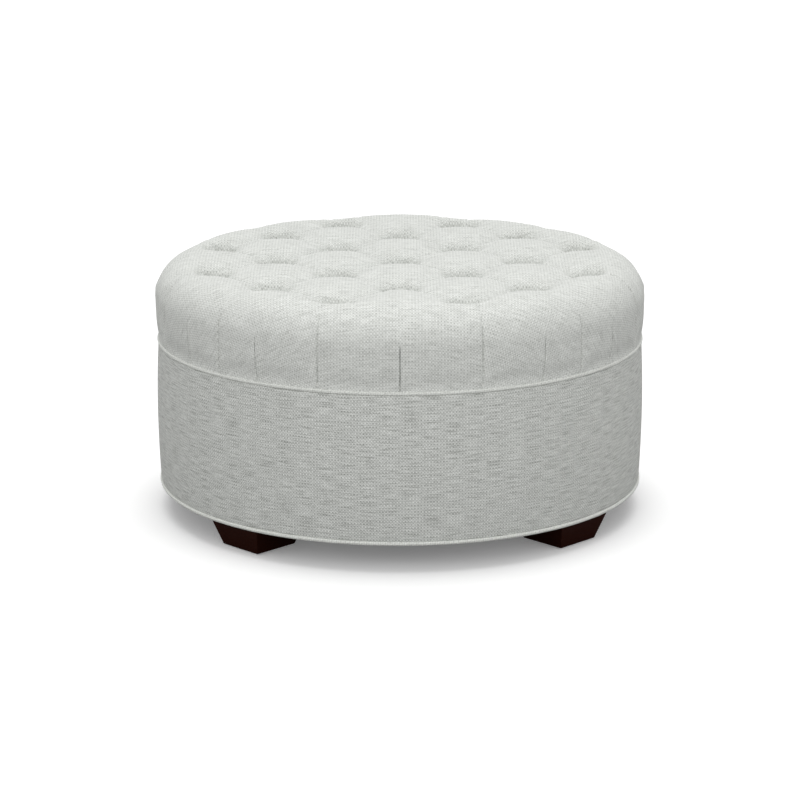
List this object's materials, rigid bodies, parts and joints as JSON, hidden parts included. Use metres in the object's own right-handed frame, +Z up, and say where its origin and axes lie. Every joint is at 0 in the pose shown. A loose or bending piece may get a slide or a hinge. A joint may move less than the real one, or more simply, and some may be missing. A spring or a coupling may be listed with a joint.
{
  "type": "tufted ottoman",
  "caption": "Round drum ottoman with a button-tufted padded crown, welted seams, a plain fabric drum and tapered block feet.",
  "frame": {"origin": "on the floor, at the centre of the round", "axes": "+Z up out of the tufted crown, -Y towards the front, where two tuft columns stand either side of the middle"},
  "size_m": [0.914, 0.914, 0.47],
  "materials": {
    "crown_fabric": "woven, pale grey-green, matte",
    "drum_fabric": "woven, pale grey-green with darker slubs, matte",
    "welt_fabric": "woven on the bias, pale grey-green, matte",
    "piping_cord": "twisted paper and cotton",
    "wadding": "polyester wadding",
    "foam": "polyurethane foam",
    "twine": "waxed",
    "anchor": "moulded",
    "strip_board": "pressed",
    "plywood": "rotary cut, sanded",
    "pine": "planed",
    "espresso_wood": "dark espresso stain, satin",
    "dust_cloth": "non-woven, black",
    "steel": "zinc plated",
    "felt": "pressed felt"
  },
  "bodies": {
    "root": {"base_panel": "plywood", "base_screws": "steel", "base_staples": "steel", "base_welt_cord": "piping_cord", "base_welt_sleeve": "welt_fabric", "deck_rail_front": "pine", "deck_rail_left": "pine", "deck_rail_rear": "pine", "deck_rail_right": "pine", "deck_screws": "steel", "dust_cover": "dust_cloth", "foot_block_front_left": "pine", "foot_block_front_right": "pine", "foot_block_rear_left": "pine", "foot_block_rear_right": "pine", "foot_front_left": "espresso_wood", "foot_front_right": "espresso_wood", "foot_pads": "felt", "foot_rear_left": "espresso_wood", "foot_rear_right": "espresso_wood", "hanger_bolts": "steel", "mid_welt_cord": "piping_cord", "mid_welt_sleeve": "welt_fabric", "post_1": "pine", "post_2": "pine", "post_3": "pine", "post_4": "pine", "post_5": "pine", "post_6": "pine", "post_7": "pine", "post_8": "pine", "seat_foam": "foam", "side_cover": "drum_fabric", "side_padding": "wadding", "side_wall": "plywood", "tack_strip": "strip_board", "tee_nuts": "steel", "top_deck": "plywood", "topper_pad": "wadding", "tuft_anchors": "anchor", "tuft_buttons": "crown_fabric", "tuft_twines": "twine", "tufted_cover": "crown_fabric"}
  },
  "joints": []
}
